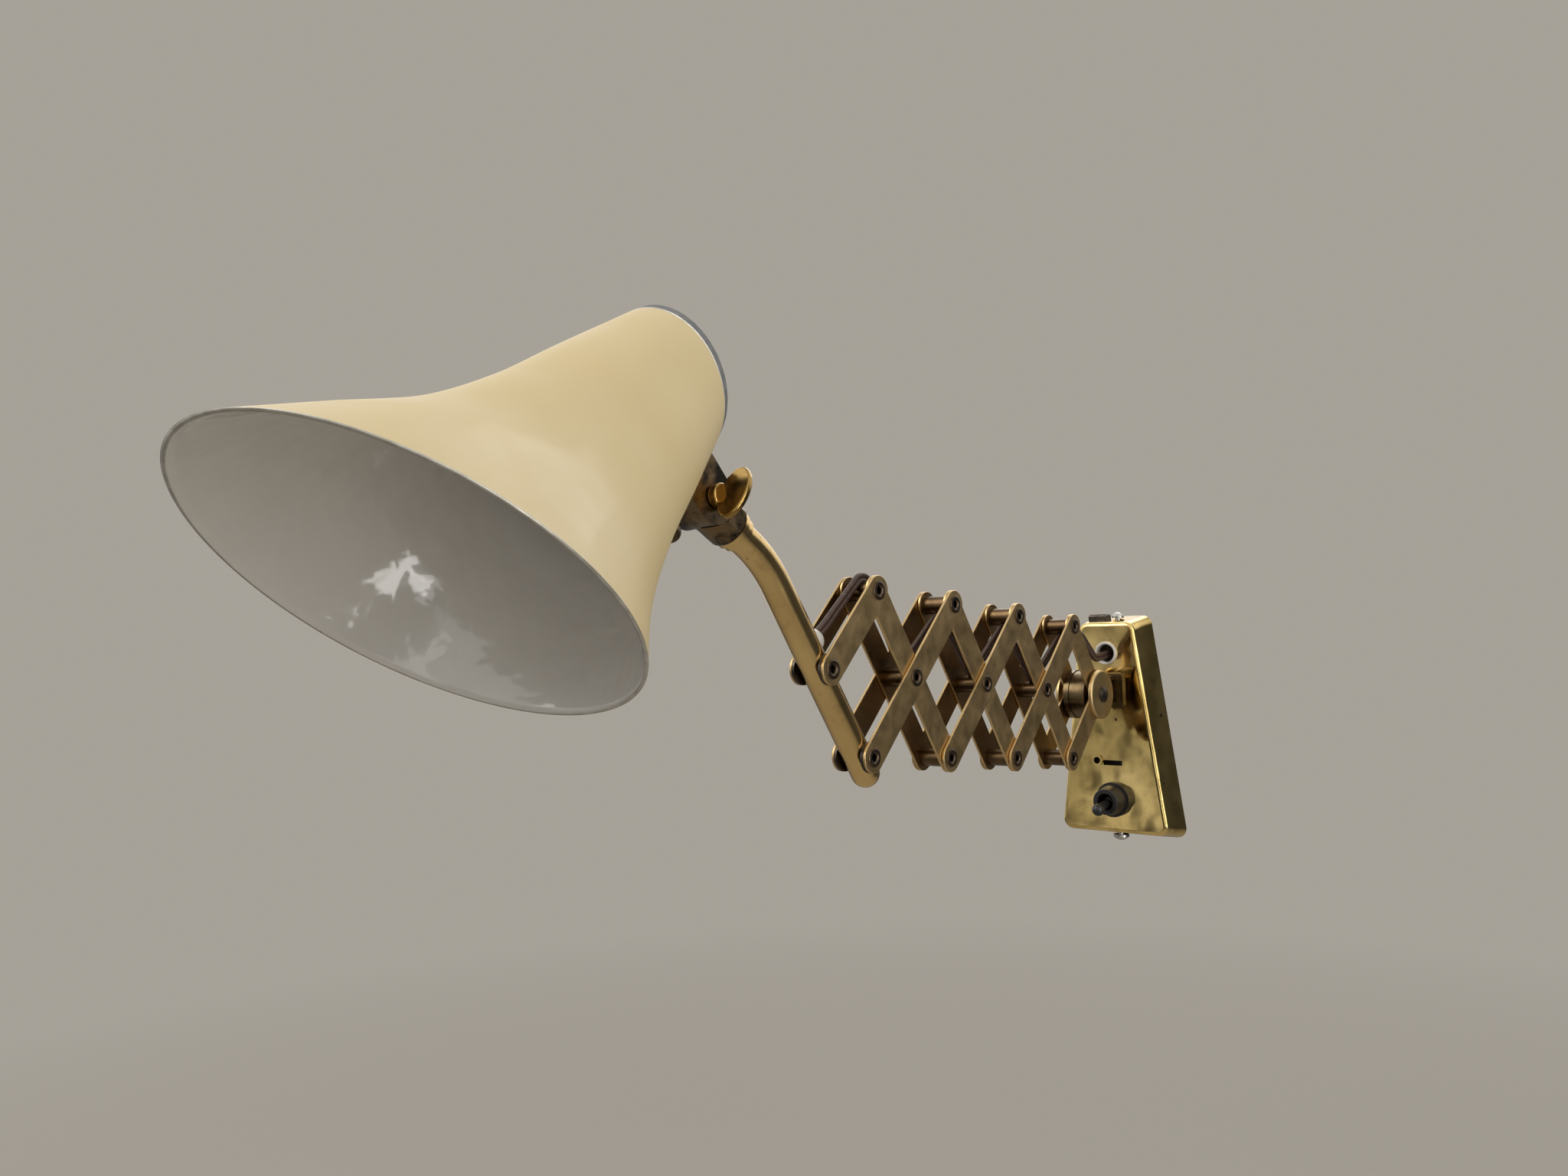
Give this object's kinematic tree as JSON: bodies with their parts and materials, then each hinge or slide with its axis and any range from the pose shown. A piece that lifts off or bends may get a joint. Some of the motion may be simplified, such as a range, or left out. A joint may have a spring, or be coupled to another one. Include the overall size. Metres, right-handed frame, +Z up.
{
  "type": "accordion wall lamp",
  "caption": "Wall lamp with a brass scissor arm of flat riveted straps, a bent tube, a clamped knuckle and a cream trumpet shade cut aslant, on a tapered box with a toggle switch.",
  "frame": {"origin": "wall plane at the middle of the back of the wall box", "axes": "+Z up, -Y out of the wall towards the shade, +X to the side of the lamp that carries the paddle of the clamp screw"},
  "size_m": [0.133, 0.5102, 0.238],
  "materials": {
    "strap_brass": "aged satin brass with fine scratches and dark spots",
    "cover_brass": "polished pale brass, slightly brushed",
    "rivet_brass": "dark bronze-toned rolled rivet",
    "spacer_brass": "turned brass tube",
    "disc_brass": "aged turned brass",
    "joint_metal": "cast brass, darkened",
    "knuckle_metal": "nickelled brass worn to dark patches",
    "dark_metal": "blackened steel",
    "screw_steel": "bright steel screw",
    "plate_steel": "plain zinc-coated steel",
    "enamel": "cream stove enamel, semi-gloss",
    "cap_metal": "dull grey metal",
    "black_plastic": "moulded black phenolic, glossy",
    "white_plastic": "white moulded plastic",
    "flex": "brown twin flex",
    "ceramic": "unglazed white porcelain",
    "bulb_glass": "opal white glass"
  },
  "bodies": {
    "wall": {"wall_plate": "plate_steel", "wall_cover": "cover_brass", "cover_screws": "screw_steel", "top_lug": "dark_metal", "cord_grommet": "white_plastic", "switch_body": "black_plastic", "terminal_block": "ceramic", "wall_bracket": "joint_metal", "swivel_pin": "joint_metal", "cord_box": "flex", "cord_swivel": "flex"},
    "switch": {"switch_lever": "black_plastic"},
    "swivel": {"swivel_block": "joint_metal", "cord_tilt": "flex"},
    "hub": {"drum_plates": "joint_metal", "pivot_bolt": "dark_metal", "friction_discs": "disc_brass", "cord_fold": "flex"},
    "inner_wall": {"inner_links_wall": "strap_brass", "cord_t3": "flex"},
    "outer_wall": {"outer_links_wall": "strap_brass", "rivets_wall": "rivet_brass", "spacers_wall": "spacer_brass"},
    "outer_3": {"outer_links_3": "strap_brass", "rivets_3": "rivet_brass", "spacers_3": "spacer_brass", "cord_m3": "flex"},
    "inner_3": {"inner_links_3": "strap_brass", "cord_t2": "flex"},
    "outer_2": {"outer_links_2": "strap_brass", "rivets_2": "rivet_brass", "spacers_2": "spacer_brass", "cord_m2": "flex"},
    "inner_2": {"inner_links_2": "strap_brass", "cord_t1": "flex"},
    "outer_1": {"outer_links_1": "strap_brass", "rivets_1": "rivet_brass", "spacers_1": "spacer_brass", "cord_m1": "flex"},
    "inner_1": {"inner_links_1": "strap_brass", "cord_t0": "flex"},
    "outer_front": {"outer_links_front": "strap_brass", "rivets_front": "rivet_brass", "spacers_front": "spacer_brass", "cord_entry": "flex"},
    "tube": {"arm_tube": "strap_brass", "tube_washers": "dark_metal", "tube_bushing": "white_plastic", "tube_collar": "strap_brass", "cord_tube": "flex"},
    "turn": {"knuckle_base": "knuckle_metal"},
    "head": {"knuckle_ear": "knuckle_metal", "shade": "enamel", "shade_end_cap": "cap_metal", "lamp_holder": "black_plastic", "holder_bracket": "plate_steel", "holder_screws": "screw_steel", "bulb_glass": "bulb_glass", "bulb_cap": "cap_metal"},
    "thumb": {"thumb_screw": "knuckle_metal"}
  },
  "joints": [
    {"name": "switch_toggle", "type": "hinge", "parent": "wall", "child": "switch", "pos_m": [0.0012, -0.024, -0.0395], "axis": [1, 0, 0], "range_deg": [-23, 0]},
    {"name": "arm_swivel", "type": "hinge", "parent": "wall", "child": "swivel", "pos_m": [0, -0.027, 0.02035], "axis": [0, 0, 1], "range_deg": [-45, 45], "deforming": ["cord_swivel"]},
    {"name": "arm_tilt", "type": "hinge", "parent": "swivel", "child": "hub", "pos_m": [0, -0.046, 0.02035], "axis": [1, 0, 0], "range_deg": [-15, 20], "deforming": ["cord_tilt"]},
    {"name": "fold", "type": "hinge", "parent": "hub", "child": "inner_wall", "pos_m": [0, -0.046, 0.02035], "axis": [1, 0, 0], "range_deg": [-25, 28], "deforming": ["cord_fold"]},
    {"name": "fold_wall_outer", "type": "hinge", "parent": "hub", "child": "outer_wall", "pos_m": [0, -0.046, 0.02035], "axis": [1, 0, 0], "range_deg": [-28, 25]},
    {"name": "fold_t3", "type": "hinge", "parent": "inner_wall", "child": "outer_3", "pos_m": [0, -0.07043, 0.05713], "axis": [1, 0, 0], "range_deg": [-56, 50], "deforming": ["cord_t3"]},
    {"name": "fold_m3", "type": "hinge", "parent": "outer_3", "child": "inner_3", "pos_m": [0, -0.10256, 0.02685], "axis": [1, 0, 0], "range_deg": [-50, 56], "deforming": ["cord_m3"]},
    {"name": "fold_t2", "type": "hinge", "parent": "inner_3", "child": "outer_2", "pos_m": [0, -0.12699, 0.06363], "axis": [1, 0, 0], "range_deg": [-56, 50], "deforming": ["cord_t2"]},
    {"name": "fold_m2", "type": "hinge", "parent": "outer_2", "child": "inner_2", "pos_m": [0, -0.15912, 0.03336], "axis": [1, 0, 0], "range_deg": [-50, 56], "deforming": ["cord_m2"]},
    {"name": "fold_t1", "type": "hinge", "parent": "inner_2", "child": "outer_1", "pos_m": [0, -0.18355, 0.07014], "axis": [1, 0, 0], "range_deg": [-56, 50], "deforming": ["cord_t1"]},
    {"name": "fold_m1", "type": "hinge", "parent": "outer_1", "child": "inner_1", "pos_m": [0, -0.21569, 0.03986], "axis": [1, 0, 0], "range_deg": [-50, 56], "deforming": ["cord_m1"]},
    {"name": "fold_t0", "type": "hinge", "parent": "inner_1", "child": "outer_front", "pos_m": [0, -0.24011, 0.07664], "axis": [1, 0, 0], "range_deg": [-56, 50], "deforming": ["cord_t0"]},
    {"name": "fold_f", "type": "hinge", "parent": "outer_front", "child": "tube", "pos_m": [0, -0.27225, 0.04637], "axis": [1, 0, 0], "range_deg": [-50, 56], "deforming": ["cord_entry"]},
    {"name": "head_turn", "type": "hinge", "parent": "tube", "child": "turn", "pos_m": [0, -0.33337, 0.10936], "axis": [0, -0.8525, 0.5226], "range_deg": [-60, 60]},
    {"name": "shade_tilt", "type": "hinge", "parent": "turn", "child": "head", "pos_m": [0, -0.33337, 0.10936], "axis": [0.997, 0.0406, 0.0661], "range_deg": [-22, 50]},
    {"name": "thumb_turn", "type": "hinge", "parent": "turn", "child": "thumb", "pos_m": [0, -0.33337, 0.10936], "axis": [0.997, 0.0406, 0.0661], "range_deg": [-180, 180]}
  ],
  "couplings": [
    {"joint": "fold_wall_outer", "follows": "fold", "ratio": -1},
    {"joint": "fold_t3", "follows": "fold", "ratio": -2},
    {"joint": "fold_m3", "follows": "fold", "ratio": 2},
    {"joint": "fold_t2", "follows": "fold", "ratio": -2},
    {"joint": "fold_m2", "follows": "fold", "ratio": 2},
    {"joint": "fold_t1", "follows": "fold", "ratio": -2},
    {"joint": "fold_m1", "follows": "fold", "ratio": 2},
    {"joint": "fold_t0", "follows": "fold", "ratio": -2},
    {"joint": "fold_f", "follows": "fold", "ratio": 2}
  ]
}
